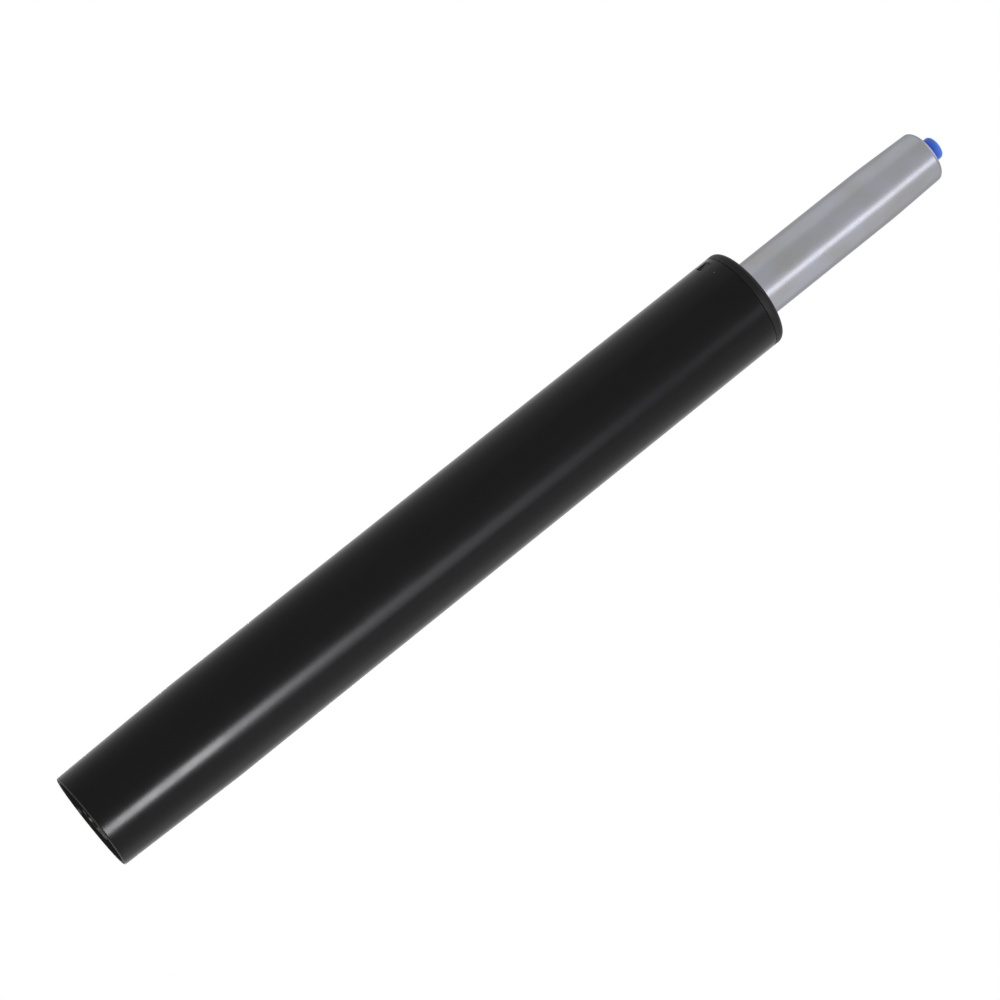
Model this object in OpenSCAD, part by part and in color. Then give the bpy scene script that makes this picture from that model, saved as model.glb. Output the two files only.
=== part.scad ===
// Chair gas lift cylinder with a long stroke, fully lowered.
// The axis is Z, and the origin is the centre of the stand tube's mouth.

/* [Stand tube] */
// Outside diameter of the stand tube
tube_od = 50; // [45:0.5:60]
// Wall of the stand tube
tube_wall = 2; // [1.5:0.1:2.6]
// Length of the stand tube from its mouth to its top edge
tube_len = 375; // [350:1:450]
// Length of the taper that sits in the chair base
base_taper_len = 63; // [40:1:90]
// How much narrower the stand tube is at its mouth
base_taper_drop = 2.7; // [1:0.1:4]
// Rounding of the outer edge of the mouth
mouth_round = 0.5; // [0.3:0.1:1]
// Chamfer of the inner edge of the mouth
mouth_chamfer = 0.3; // [0.1:0.1:0.4]
// Chamfer of the outer edge at the top
tube_top_chamfer = 0.5; // [0.2:0.1:1]
// Width of a snap window around the tube
window_w = 5; // [4:0.5:12]
// Height of a snap window
window_h = 5.8; // [4:0.1:7]
// Distance of a snap window below the top edge
window_drop = 2.8; // [2.5:0.1:6]
// Corner radius of a snap window
window_corner = 0.8; // [0.3:0.1:1.5]

/* [Guide bush] */
// Height of the collar above the stand tube
collar_h = 5.3; // [3.5:0.1:9]
// Rounding of the collar's outer edge
collar_round = 2.6; // [0.5:0.1:3]
// Rounding of the collar's lower edge, which leaves a fine groove above the stand tube
collar_foot_round = 0.4; // [0.2:0.1:0.4]
// Chamfer where the bore leaves the collar
collar_bore_chamfer = 0.6; // [0.2:0.1:1.2]
// Depth of the bush in the stand tube
bush_len = 85; // [60:1:110]
// Wall of the inner sleeve
sleeve_wall = 2.4; // [1.6:0.1:3.5]
// Wall of the outer skirt that carries the snap tongues
skirt_wall = 2.5; // [1.5:0.1:3]
// How far the skirt reaches below the windows
skirt_below = 5.3; // [3:0.1:12]
// Thickness of the web that joins sleeve and skirt under the collar
web_t = 2; // [1:0.1:3]
// Number of fins between sleeve and stand tube
fin_count = 8; // [4:2:10]
// Thickness of a fin
fin_t = 2; // [1.2:0.1:3]
// Height of the ring at the foot of the bush
foot_ring_h = 6; // [3:0.5:10]
// Lead-in chamfer of the foot ring
foot_chamfer = 1.5; // [0.5:0.1:2.5]
// Width of the slots that free a snap tongue
tongue_slot = 1.2; // [0.8:0.1:2]
// How far a snap barb stays below the tube's outer surface
barb_recess = 1; // [0.3:0.1:1.2]
// Height of the flat face at the top of a snap barb
barb_land = 1.5; // [0.4:0.1:2]

/* [Pressure tube] */
// Outside diameter of the pressure tube
lift_od = 28; // [26:0.5:31]
// Wall of the pressure tube
lift_wall = 1.5; // [1:0.1:2]
// Length of the pressure tube that stands above the collar when lowered
lift_exposed = 110; // [80:1:160]
// Length of the taper that sits in the seat mechanism
seat_taper_len = 31; // [25:1:45]
// How much narrower the pressure tube is at its top
seat_taper_drop = 1.9; // [1:0.1:3]
// Outer rounding of the rolled lip at the top
top_lip_round = 2.3; // [1.6:0.1:3]
// Opening in the rolled lip at the top
top_lip_d = 17; // [15:0.5:18.5]
// Outer rounding of the crimped lip at the foot
foot_lip_round = 2.3; // [1.6:0.1:3]
// Opening in the crimped lip at the foot
foot_lip_d = 16; // [13:0.5:18]
// Travel of the lift
stroke = 260; // [150:5:280]

/* [Inner tube] */
// Outside diameter of the inner tube
inner_od = 21; // [20:0.25:22.5]
// Wall of the inner tube
inner_wall = 1; // [0.6:0.1:1.5]

/* [Piston rod] */
// Diameter of the rod
rod_d = 10; // [9.5:0.25:12]
// Diameter of the journal through the bearing and base plate
journal_d = 8; // [7:0.25:9]
// Diameter of the stub that carries the piston
stub_d = 6; // [5:0.25:7]
// Height of the rod's tip above the mouth
tip_gap = 0.2; // [0.2:0.1:2]
// Chamfer of the rod's tip
tip_chamfer = 0.5; // [0.2:0.1:0.6]
// Width of the lathe centre in the rod's tip
centre_d = 3; // [1.5:0.25:4]
// Land between the rod's tip and the clip groove
clip_land = 0.6; // [0.6:0.1:2]
// Depth of the clip groove
clip_groove = 0.8; // [0.4:0.1:1.2]
// Diameter of the riveted head above the piston
rivet_d = 9; // [8:0.25:11]
// Height of the riveted head
rivet_h = 1.8; // [1.2:0.1:3]

/* [Clip, washer and base plate] */
// Thickness of the retaining clip
clip_t = 1.2; // [0.8:0.1:2]
// Width of the retaining clip
clip_w = 17; // [13:0.5:22]
// Reach of the clip's closed end from the axis
clip_reach = 10.5; // [8:0.5:14]
// Reach of the clip's arms past the axis
clip_arm = 4; // [4:0.5:10]
// Corner radius at the ends of the clip's arms
clip_corner = 1.5; // [0.5:0.1:2]
// Diameter of the spring hole in the clip's closed end
clip_hole_d = 3; // [1.5:0.25:4]
// Outside diameter of the clip washer
washer_d = 18; // [14:0.5:24]
// Thickness of the clip washer
washer_t = 1; // [0.6:0.1:2]
// Thickness of the base plate
plate_t = 5; // [4:0.25:8]
// Depth of the bearing's seat in the base plate
race_seat = 0.8; // [0.4:0.1:1.5]

/* [Thrust bearing] */
// Outside diameter of the races
race_od = 25; // [23:0.5:30]
// Thickness of a race
race_t = 2.2; // [1.6:0.1:3]
// Diameter of a ball
ball_d = 4; // [3:0.25:4.5]
// Number of balls
ball_count = 10; // [6:1:10]
// Depth of the ball groove in a race
ball_sink = 0.6; // [0.3:0.1:0.8]
// Thickness of the cage
cage_t = 1.6; // [1:0.1:2]
// Rim of the cage inside and outside the balls
cage_rim = 1; // [0.6:0.1:1.4]

/* [Bumper] */
// Diameter of the bumper
bumper_d = 26; // [20:0.5:34]
// Height of the bumper
bumper_h = 12; // [8:0.5:25]
// Radius of the groove round the bumper
bumper_groove = 1.6; // [0.8:0.1:2.5]
// Chamfer of the bumper's edges
bumper_chamfer = 1; // [0.3:0.1:2]

/* [Rod seal and guide] */
// Thickness of the end washer
end_washer_t = 3; // [2:0.25:5]
// Height of the rod seal
seal_h = 7; // [5:0.25:10]
// Depth of the groove between the seal's lips
seal_groove = 3; // [1.5:0.25:4]
// Thickness of a lip of the seal
seal_lip = 2; // [1.2:0.1:2.6]
// Thickness of the seal washer
seal_washer_t = 2; // [1:0.25:4]
// Thickness of the rod guide's flange
guide_flange_t = 6; // [4:0.5:10]
// Height of the rod guide's spigot in the inner tube
guide_spigot_h = 8; // [5:0.5:14]
// Number of bypass grooves
bypass_count = 4; // [2:1:8]
// Width of a bypass groove
bypass_w = 2; // [1:0.1:3]
// Depth of a bypass groove
bypass_depth = 1.2; // [0.6:0.1:2]

/* [Piston] */
// Height of the piston
piston_h = 12; // [8:0.5:20]
// Section of the piston seal
piston_seal_t = 2.6; // [1.6:0.1:3]
// Thickness of the washer under the piston
piston_washer_t = 2; // [1:0.25:4]
// Thickness of the retainer on top of the piston
retainer_t = 1.5; // [1:0.25:3]
// How far the piston's washers stay inside its edge
piston_washer_inset = 1; // [0.5:0.1:2]

/* [Valve] */
// Height of the valve body's flange below the seat taper
valve_flange_h = 14; // [12:0.5:20]
// Height of the valve body's spigot in the inner tube
valve_spigot_h = 10; // [8:0.5:16]
// Section of the seal between valve body and pressure tube
valve_seal_t = 2.4; // [1.6:0.1:3]
// Section of the seal between valve body and inner tube
spigot_seal_t = 1.8; // [1.2:0.1:2.4]
// Section of the seals on the valve pin
pin_seal_t = 1.8; // [1.2:0.1:2]
// Number of bypass ports
port_count = 4; // [2:1:6]
// Diameter of a bypass port
port_d = 1.6; // [1:0.1:1.8]
// Diameter of the valve pin
pin_d = 5; // [4:0.25:6]
// Diameter of the valve pin's waist
pin_waist_d = 3.6; // [2.5:0.1:3.9]
// Diameter of the valve pin's head
pin_head_d = 8; // [7:0.25:12]
// Thickness of the valve pin's head
pin_head_t = 2; // [1:0.25:4]

/* [Release button] */
// Diameter of the button
button_d = 11.5; // [9:0.25:13]
// How far the button stands above the rolled lip
button_proud = 7.1; // [5:0.1:10]
// How far the button reaches below the rolled lip
button_sunk = 6; // [4:0.25:8]
// Rounding of the button's top edge
button_round = 1.5; // [0.4:0.1:2]
// Depth of the pin's socket in the button
button_socket = 6; // [3:0.25:8]
// Travel of the button
button_travel = 4; // [2:0.25:5]

/* [Fits] */
// Radial clearance of parts that run on each other
run_fit = 0.05; // [0.02:0.01:0.08]
// Radial clearance of parts that are seated in each other
seat_fit = 0.05; // [0.02:0.01:0.1]
// Gap left at a stop
stop_gap = 0.3; // [0.2:0.05:0.5]
// Axial play of the clip and its washer
end_play = 0.1; // [0.05:0.01:0.3]
// Gap between a ball and its grooves
ball_gap = 0.05; // [0.02:0.01:0.1]
// Gap between a ball and its pocket in the cage
pocket_gap = 0.15; // [0.1:0.05:0.3]
// Gap between a snap barb and its window
window_gap = 0.3; // [0.2:0.05:0.6]
// Gap between the button and the valve body
button_gap = 0.15; // [0.1:0.05:0.4]

/* [Hidden] */
$fn = 96;

// Overlap that lets a cut run clear of the face that it opens
cut = 1;
// Overlap that lets two solids of one piece grow together
grow = 0.3;

// Stand tube
tube_r = tube_od / 2;
tube_ir = tube_r - tube_wall;
mouth_r = tube_r - base_taper_drop / 2;
base_slope = base_taper_drop / 2 / base_taper_len;
window_top = tube_len - window_drop;
window_z = window_top - window_h;
function bore_r(z) = mouth_r - tube_wall + base_slope * min(z, base_taper_len);

// Guide bush
bush_z = tube_len - bush_len;
bush_r = tube_ir - seat_fit;
bush_bore_r = lift_od / 2 + run_fit;
sleeve_r = bush_bore_r + sleeve_wall;
skirt_z = window_z - skirt_below;
barb_r = tube_r - barb_recess;
tongue_w = window_w - 2 * window_gap;
barb_angle = 2 * asin(tongue_w / 2 / barb_r);
skirt_ir = bush_r - skirt_wall;
tongue_slot_x = sqrt(pow(skirt_ir, 2) - pow(tongue_w / 2 + tongue_slot, 2)) - grow;

// Clip, washer, base plate and bearing, stacked up from the mouth
rod_r = rod_d / 2;
journal_r = journal_d / 2;
groove_r = journal_r - clip_groove;
groove_z = tip_gap + clip_land;
clip_z = groove_z + end_play;
washer_z = clip_z + clip_t + end_play;
plate_z = washer_z + washer_t + end_play;
lower_race_z = plate_z + plate_t - race_seat;
lower_groove_z = lower_race_z + race_t - ball_sink;
ball_z = lower_groove_z + ball_gap + ball_d / 2;
upper_groove_z = ball_z + ball_d / 2 + ball_gap;
upper_race_z = upper_groove_z - ball_sink;
shoulder_z = upper_race_z + race_t;
ball_pitch_r = (race_od / 2 + journal_r) / 2;
bumper_top = shoulder_z + bumper_h;

// Foot of the pressure tube, stacked up from the bumper
lift_r = lift_od / 2;
lift_ir = lift_r - lift_wall;
lift_foot = bumper_top + stop_gap;
end_washer_z = lift_foot + lift_wall;
seal_z = end_washer_z + end_washer_t;
seal_washer_z = seal_z + seal_h;
guide_z = seal_washer_z + seal_washer_t;
inner_foot = guide_z + guide_flange_t;
guide_top = inner_foot + guide_spigot_h;
stack_r = lift_ir - seat_fit;
inner_ir = inner_od / 2 - inner_wall;
spigot_r = inner_ir - seat_fit;

// Piston, held on the rod so that it meets the guide at the end of the stroke
piston_washer_z = guide_top + stroke + stop_gap;
piston_z = piston_washer_z + piston_washer_t;
retainer_z = piston_z + piston_h;
rivet_z = retainer_z + retainer_t;
piston_r = inner_ir - run_fit;
piston_washer_r = piston_r - piston_washer_inset;
stub_r = stub_d / 2;

// Head of the pressure tube and its valve, set out down from the rolled lip
lift_top = tube_len + collar_h + lift_exposed;
seat_z = lift_top - seat_taper_len;
seat_slope = seat_taper_drop / 2 / seat_taper_len;
seat_top_r = lift_r - seat_taper_drop / 2;
valve_top = lift_top - lift_wall - seat_fit;
valve_flange_z = seat_z - valve_flange_h;
valve_foot = valve_flange_z - valve_spigot_h;
port_z = valve_flange_z + valve_flange_h / 4;
valve_seal_z = seat_z - valve_seal_t;
spigot_seal_z = valve_foot + valve_spigot_h / 2;
lower_pin_seal_z = valve_foot + valve_spigot_h / 3;
upper_pin_seal_z = seat_z - pin_seal_t;
port_r = (inner_od / 2 + lift_ir) / 2;
foot_inner_round = max(foot_lip_round - lift_wall, seat_fit);
top_inner_round = max(top_lip_round - lift_wall, seat_fit);
function seat_bore_r(z) = seat_top_r - lift_wall + seat_slope * (lift_top - z);

// Button and valve pin, which move together
button_top = lift_top + button_proud;
button_foot = lift_top - button_sunk;
button_well_z = button_foot - button_travel - stop_gap;
pin_r = pin_d / 2;
pin_bore_r = pin_r + run_fit;
pin_top = button_foot + button_socket;
pin_head_z = valve_foot - stop_gap - pin_head_t;
waist_foot = lower_pin_seal_z + pin_seal_t;
waist_top = port_z + port_d + button_travel;

// Half profile of a round bar whose end is at height 0 and widens upward by slope,
// with the edge of the end rounded
module round_end(end_r, slope, height, edge) {
    lean = sqrt(1 + slope * slope);
    arc_x = end_r + slope * edge - edge * lean;
    polygon([
        [0, 0],
        [arc_x, 0],
        [arc_x + edge / lean, edge - edge * slope / lean],
        [end_r + slope * height, height],
        [0, height]
    ]);
    translate([arc_x, edge]) circle(edge);
}

// Half section of a ring between two radii, from z up by height
module ring_section(inside_r, outside_r, z, height) {
    translate([inside_r, z]) square([outside_r - inside_r, height]);
}

// Plain ring or washer
module ring(inside_r, outside_r, z, height) {
    rotate_extrude() ring_section(inside_r, outside_r, z, height);
}

// Round section ring, such as an O-ring, about its middle height
module o_ring(middle_r, z, section) {
    rotate_extrude() translate([middle_r, z]) circle(section / 2);
}

// Half section of a groove for a ring of that section, cut in from an outer surface
module outer_groove(surface_r, z, section) {
    ring_section(surface_r - section - seat_fit, surface_r + cut,
        z - section / 2 - seat_fit, section + 2 * seat_fit);
}

// Half section of a groove for a ring of that section, cut out from a bore
module bore_groove(surface_r, z, section) {
    ring_section(0, surface_r + section + seat_fit,
        z - section / 2 - seat_fit, section + 2 * seat_fit);
}

// Rectangle with round corners, centred
module round_rect(width, height, corner) {
    square([width - 2 * corner, height], center = true);
    square([width, height - 2 * corner], center = true);
    for (x = [-1, 1], y = [-1, 1])
        translate([x * (width / 2 - corner), y * (height / 2 - corner)]) circle(corner);
}

// Black steel tube, drawn to a taper at the mouth, with two windows for the bush
module stand_tube() {
    color([0.06, 0.06, 0.065])
    difference() {
        rotate_extrude() difference() {
            union() {
                round_end(mouth_r, base_slope, base_taper_len, mouth_round);
                polygon([
                    [0, base_taper_len],
                    [tube_r, base_taper_len],
                    [tube_r, tube_len - tube_top_chamfer],
                    [tube_r - tube_top_chamfer, tube_len],
                    [0, tube_len]
                ]);
            }
            polygon([
                [0, -cut],
                [bore_r(0) + mouth_chamfer, -cut],
                [bore_r(0) + mouth_chamfer, 0],
                [bore_r(mouth_chamfer), mouth_chamfer],
                [tube_ir, base_taper_len],
                [tube_ir, tube_len + cut],
                [0, tube_len + cut]
            ]);
        }
        for (side = [0, 180])
            rotate(side)
            translate([tube_ir - cut, 0, window_z + window_h / 2])
            rotate([90, 0, 90])
            linear_extrude(tube_wall + 2 * cut) round_rect(window_w, window_h, window_corner);
    }
}

// Moulded acetal bush: collar, sleeve for the pressure tube, finned core and snap tongues
module guide_bush() {
    color([0.09, 0.09, 0.095]) {
        difference() {
            union() {
                rotate_extrude() bush_section();
                bush_fins();
            }
            for (side = [0, 180], edge = [-1, 1])
                rotate(side)
                translate([tongue_slot_x, (edge * (tongue_w + tongue_slot) - tongue_slot) / 2, skirt_z - cut])
                cube([bush_r, tongue_slot, window_top - skirt_z + cut]);
        }
        for (side = [0, 180])
            rotate(side - barb_angle / 2)
            rotate_extrude(angle = barb_angle) barb_section();
    }
}

// Half section of the bush's turned form
module bush_section() {
    difference() {
        union() {
            translate([0, tube_len + collar_h]) mirror([0, 1])
                round_end(tube_r, 0, collar_h - 2 * collar_foot_round, collar_round);
            translate([0, tube_len])
                round_end(tube_r, 0, 2 * collar_foot_round, collar_foot_round);
            ring_section(0, bush_r, tube_len - web_t, web_t);
            ring_section(skirt_ir, bush_r, skirt_z, tube_len - skirt_z);
            ring_section(0, sleeve_r, bush_z, bush_len);
            polygon([
                [0, bush_z],
                [bush_r - foot_chamfer, bush_z],
                [bush_r, bush_z + foot_chamfer],
                [bush_r, bush_z + foot_ring_h],
                [0, bush_z + foot_ring_h]
            ]);
        }
        polygon([
            [0, bush_z - cut],
            [bush_bore_r, bush_z - cut],
            [bush_bore_r, tube_len + collar_h - collar_bore_chamfer],
            [bush_bore_r + collar_bore_chamfer, tube_len + collar_h],
            [bush_bore_r + collar_bore_chamfer, tube_len + collar_h + cut],
            [0, tube_len + collar_h + cut]
        ]);
    }
}

// Fins from the sleeve out to the wall of the stand tube
module bush_fins() {
    intersection() {
        cylinder(r = bush_r, h = tube_len);
        for (i = [0 : fin_count - 1])
            rotate((i + 0.5) * 360 / fin_count)
            translate([sleeve_r - grow, -fin_t / 2, bush_z + foot_ring_h - grow])
            cube([tube_r, fin_t, bush_len - foot_ring_h - web_t + 2 * grow]);
    }
}

// Section of a snap barb: a long lead-in below, a flat face and a square catch on top
module barb_section() {
    root_r = bush_r - grow;
    catch_z = window_top - window_gap;
    land_z = catch_z - barb_land;
    lead_z = window_z + window_gap;
    lead_rise = (land_z - lead_z) / (barb_r - bush_r);
    polygon([
        [root_r, lead_z - lead_rise * (bush_r - root_r)],
        [barb_r, land_z],
        [barb_r, catch_z],
        [root_r, catch_z]
    ]);
}

// Steel plate wedged in the taper, with a seat for the bearing
module base_plate() {
    color([0.06, 0.06, 0.065])
    rotate_extrude() difference() {
        polygon([
            [journal_r + run_fit, plate_z],
            [bore_r(plate_z) - seat_fit, plate_z],
            [bore_r(plate_z + plate_t) - seat_fit, plate_z + plate_t],
            [journal_r + run_fit, plate_z + plate_t]
        ]);
        ring_section(0, race_od / 2 + seat_fit, lower_race_z, race_seat + cut);
    }
}

// Lower race of the thrust bearing, still in the base plate
module lower_race() {
    color([0.7, 0.7, 0.72])
    rotate_extrude() difference() {
        ring_section(journal_r + stop_gap, race_od / 2, lower_race_z, race_t);
        translate([ball_pitch_r, ball_z]) circle(ball_d / 2 + ball_gap);
    }
}

// Upper race of the thrust bearing, turning with the rod
module upper_race() {
    color([0.7, 0.7, 0.72])
    rotate_extrude() difference() {
        ring_section(journal_r + seat_fit, race_od / 2, upper_race_z, race_t);
        translate([ball_pitch_r, ball_z]) circle(ball_d / 2 + ball_gap);
    }
}

// Cage that spaces the balls
module ball_cage() {
    color([0.75, 0.68, 0.5])
    difference() {
        ring(ball_pitch_r - ball_d / 2 - cage_rim, ball_pitch_r + ball_d / 2 + cage_rim,
            ball_z - cage_t / 2, cage_t);
        for (i = [0 : ball_count - 1])
            rotate(i * 360 / ball_count)
            translate([ball_pitch_r, 0, ball_z - cage_t / 2 - cut])
            cylinder(r = ball_d / 2 + pocket_gap, h = cage_t + 2 * cut);
    }
}

// Balls of the thrust bearing
module bearing_balls() {
    color([0.8, 0.8, 0.82])
    for (i = [0 : ball_count - 1])
        rotate(i * 360 / ball_count)
        translate([ball_pitch_r, 0, ball_z])
        sphere(ball_d / 2);
}

// Chromed rod: grooved journal below, stub with a riveted head above
module piston_rod() {
    color([0.8, 0.8, 0.82])
    rotate_extrude() polygon([
        [0, tip_gap + centre_d / 2],
        [centre_d / 2, tip_gap],
        [journal_r - tip_chamfer, tip_gap],
        [journal_r, tip_gap + tip_chamfer],
        [journal_r, groove_z],
        [groove_r, groove_z],
        [groove_r, clip_z + clip_t + end_play],
        [journal_r, clip_z + clip_t + end_play],
        [journal_r, shoulder_z],
        [rod_r, shoulder_z],
        [rod_r, piston_washer_z],
        [stub_r, piston_washer_z],
        [stub_r, rivet_z],
        [rivet_d / 2, rivet_z],
        [rivet_d / 2, rivet_z + rivet_h / 2],
        [stub_r, rivet_z + rivet_h],
        [0, rivet_z + rivet_h]
    ]);
}

// Horseshoe clip in the groove of the rod
module retaining_clip() {
    slot_r = groove_r + seat_fit;
    clip_bow_x = clip_reach - clip_w / 2;
    color([0.3, 0.3, 0.29])
    translate([0, 0, clip_z]) linear_extrude(clip_t) difference() {
        union() {
            intersection() {
                translate([clip_bow_x, 0]) circle(clip_w / 2);
                translate([clip_bow_x, -clip_w / 2]) square(clip_w);
            }
            translate([-clip_arm, -clip_w / 2 + clip_corner])
                square([clip_arm + clip_bow_x, clip_w - 2 * clip_corner]);
            translate([-clip_arm + clip_corner, -clip_w / 2])
                square([clip_arm - clip_corner + clip_bow_x, clip_w]);
            for (side = [-1, 1])
                translate([-clip_arm + clip_corner, side * (clip_w / 2 - clip_corner)]) circle(clip_corner);
        }
        circle(slot_r);
        translate([-clip_arm - cut, -slot_r]) square([clip_arm + cut, 2 * slot_r]);
        translate([(groove_r + clip_reach) / 2, 0]) circle(clip_hole_d / 2);
    }
}

// Washer between the clip and the base plate
module clip_washer() {
    color([0.3, 0.3, 0.29])
    ring(journal_r + seat_fit, washer_d / 2, washer_z, washer_t);
}

// Rubber buffer that stops the lift at the bottom
module bumper() {
    color([0.12, 0.12, 0.12])
    rotate_extrude() difference() {
        polygon([
            [rod_r + seat_fit, shoulder_z],
            [bumper_d / 2 - bumper_chamfer, shoulder_z],
            [bumper_d / 2, shoulder_z + bumper_chamfer],
            [bumper_d / 2, bumper_top - bumper_chamfer],
            [bumper_d / 2 - bumper_chamfer, bumper_top],
            [rod_r + seat_fit, bumper_top]
        ]);
        translate([bumper_d / 2, shoulder_z + bumper_h / 2]) circle(bumper_groove);
    }
}

// Washer that carries the piston on the rod's step
module piston_washer() {
    color([0.7, 0.7, 0.72])
    ring(stub_r + seat_fit, piston_washer_r, piston_washer_z, piston_washer_t);
}

// Piston with a groove for its seal
module piston() {
    color([0.85, 0.84, 0.8])
    rotate_extrude() difference() {
        ring_section(stub_r + seat_fit, piston_r, piston_z, piston_h);
        outer_groove(piston_r, piston_z + piston_h / 2, piston_seal_t);
    }
}

// Seal in the groove of the piston
module piston_seal() {
    color([0.1, 0.1, 0.1])
    o_ring(piston_r - piston_seal_t / 2, piston_z + piston_h / 2, piston_seal_t);
}

// Washer under the rod's riveted head
module piston_retainer() {
    color([0.7, 0.7, 0.72])
    ring(stub_r + seat_fit, piston_washer_r, retainer_z, retainer_t);
}

// Grey steel tube, tapered at its top, with a rolled lip there and a crimped lip at the foot
module pressure_tube() {
    color([0.58, 0.58, 0.6])
    rotate_extrude() difference() {
        union() {
            translate([0, lift_foot])
                round_end(lift_r, 0, seat_z - lift_foot, foot_lip_round);
            translate([0, lift_top]) mirror([0, 1])
                round_end(seat_top_r, seat_slope, seat_taper_len, top_lip_round);
        }
        union() {
            translate([0, end_washer_z])
                round_end(lift_ir, 0, seat_z - end_washer_z, foot_inner_round);
            translate([0, lift_top - lift_wall]) mirror([0, 1])
                round_end(seat_bore_r(lift_top - lift_wall), seat_slope, seat_taper_len - lift_wall,
                    top_inner_round);
            ring_section(0, foot_lip_d / 2, lift_foot - cut, lift_wall + 2 * cut);
            ring_section(0, top_lip_d / 2, lift_top - lift_wall - cut, lift_wall + 2 * cut);
        }
    }
}

// Tube that the piston runs in, with the bypass round it
module inner_tube() {
    color([0.72, 0.72, 0.74])
    ring(inner_ir, inner_od / 2, inner_foot, valve_flange_z - inner_foot);
}

// Washer behind the crimped lip at the foot of the pressure tube
module end_washer() {
    color([0.7, 0.7, 0.72])
    rotate_extrude() difference() {
        translate([0, end_washer_z]) round_end(stack_r, 0, end_washer_t, foot_inner_round);
        ring_section(0, rod_r + stop_gap, end_washer_z - cut, end_washer_t + 2 * cut);
    }
}

// Lip seal on the rod, open towards the gas
module rod_seal() {
    inside_r = rod_r + run_fit;
    middle_r = (inside_r + stack_r) / 2;
    groove_half = (stack_r - inside_r) / 2 - seal_lip;
    color([0.1, 0.1, 0.1])
    rotate_extrude() difference() {
        ring_section(inside_r, stack_r, seal_z, seal_h);
        polygon([
            [middle_r - groove_half, seal_washer_z + cut],
            [middle_r - groove_half, seal_washer_z],
            [middle_r - groove_half / 2, seal_washer_z - seal_groove],
            [middle_r + groove_half / 2, seal_washer_z - seal_groove],
            [middle_r + groove_half, seal_washer_z],
            [middle_r + groove_half, seal_washer_z + cut]
        ]);
    }
}

// Washer between the seal and the rod guide
module seal_washer() {
    color([0.7, 0.7, 0.72])
    ring(rod_r + stop_gap, stack_r, seal_washer_z, seal_washer_t);
}

// Guide for the rod, with a spigot in the inner tube and grooves that join it to the bypass
module rod_guide() {
    color([0.85, 0.84, 0.8])
    difference() {
        union() {
            ring(rod_r + run_fit, stack_r, guide_z, guide_flange_t);
            ring(rod_r + run_fit, spigot_r, inner_foot - grow, guide_spigot_h + grow);
        }
        for (i = [0 : bypass_count - 1])
            rotate(i * 360 / bypass_count)
            translate([spigot_r - bypass_depth, -bypass_w / 2, inner_foot - bypass_depth])
            cube([stack_r, bypass_w, guide_spigot_h + bypass_depth + cut]);
    }
}

// Plug in the seat taper with the pin's bore, the button's well and the bypass ports
module valve_body() {
    color([0.78, 0.66, 0.36])
    difference() {
        rotate_extrude() difference() {
            union() {
                translate([0, valve_top]) mirror([0, 1])
                    round_end(seat_bore_r(valve_top) - seat_fit, seat_slope, valve_top - seat_z,
                        top_inner_round);
                ring_section(0, stack_r, valve_flange_z, valve_flange_h);
                ring_section(0, spigot_r, valve_foot, valve_spigot_h);
            }
            ring_section(0, pin_bore_r, valve_foot - cut, valve_top - valve_foot + 2 * cut);
            ring_section(0, button_d / 2 + button_gap, button_well_z, valve_top - button_well_z + cut);
            outer_groove(stack_r, valve_seal_z, valve_seal_t);
            outer_groove(spigot_r, spigot_seal_z, spigot_seal_t);
            bore_groove(pin_bore_r, lower_pin_seal_z, pin_seal_t);
            bore_groove(pin_bore_r, upper_pin_seal_z, pin_seal_t);
        }
        for (i = [0 : port_count - 1])
            rotate(i * 360 / port_count) {
                translate([0, 0, port_z]) rotate([0, 90, 0]) cylinder(d = port_d, h = port_r);
                translate([port_r, 0, valve_flange_z - cut])
                    cylinder(d = port_d, h = port_z - valve_flange_z + cut);
            }
    }
}

// O-ring between the valve body and the pressure tube
module valve_outer_seal() {
    color([0.1, 0.1, 0.1])
    o_ring(stack_r - valve_seal_t / 2, valve_seal_z, valve_seal_t);
}

// O-ring between the valve body and the inner tube
module inner_tube_seal() {
    color([0.1, 0.1, 0.1])
    o_ring(spigot_r - spigot_seal_t / 2, spigot_seal_z, spigot_seal_t);
}

// O-rings on the valve pin, below and above the ports
module valve_pin_seals() {
    color([0.1, 0.1, 0.1])
    for (z = [lower_pin_seal_z, upper_pin_seal_z])
        o_ring(pin_bore_r + pin_seal_t / 2, z, pin_seal_t);
}

// Steel pin whose waist opens the lower seal when it is pressed
module valve_pin() {
    waist_r = pin_waist_d / 2;
    lead = pin_r - waist_r;
    color([0.75, 0.75, 0.77])
    rotate_extrude() polygon([
        [0, pin_head_z],
        [pin_head_d / 2, pin_head_z],
        [pin_head_d / 2, pin_head_z + pin_head_t],
        [pin_r, pin_head_z + pin_head_t],
        [pin_r, waist_foot],
        [waist_r, waist_foot + lead],
        [waist_r, waist_top - lead],
        [pin_r, waist_top],
        [pin_r, pin_top],
        [0, pin_top]
    ]);
}

// Blue cap on the valve pin
module release_button() {
    color([0.16, 0.27, 0.75])
    rotate_extrude() difference() {
        translate([0, button_top]) mirror([0, 1])
            round_end(button_d / 2, 0, button_top - button_foot, button_round);
        ring_section(0, pin_r + seat_fit, button_foot - cut, button_socket + cut);
    }
}

stand_tube();
guide_bush();
base_plate();
lower_race();
ball_cage();
bearing_balls();
piston_rod();
upper_race();
bumper();
clip_washer();
retaining_clip();
piston_washer();
piston();
piston_seal();
piston_retainer();
pressure_tube();
inner_tube();
end_washer();
rod_seal();
seal_washer();
rod_guide();
valve_body();
valve_outer_seal();
inner_tube_seal();
valve_pin_seals();
valve_pin();
release_button();
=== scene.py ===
import math

import bmesh
import bpy
from mathutils import Matrix, Quaternion, Vector


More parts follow.
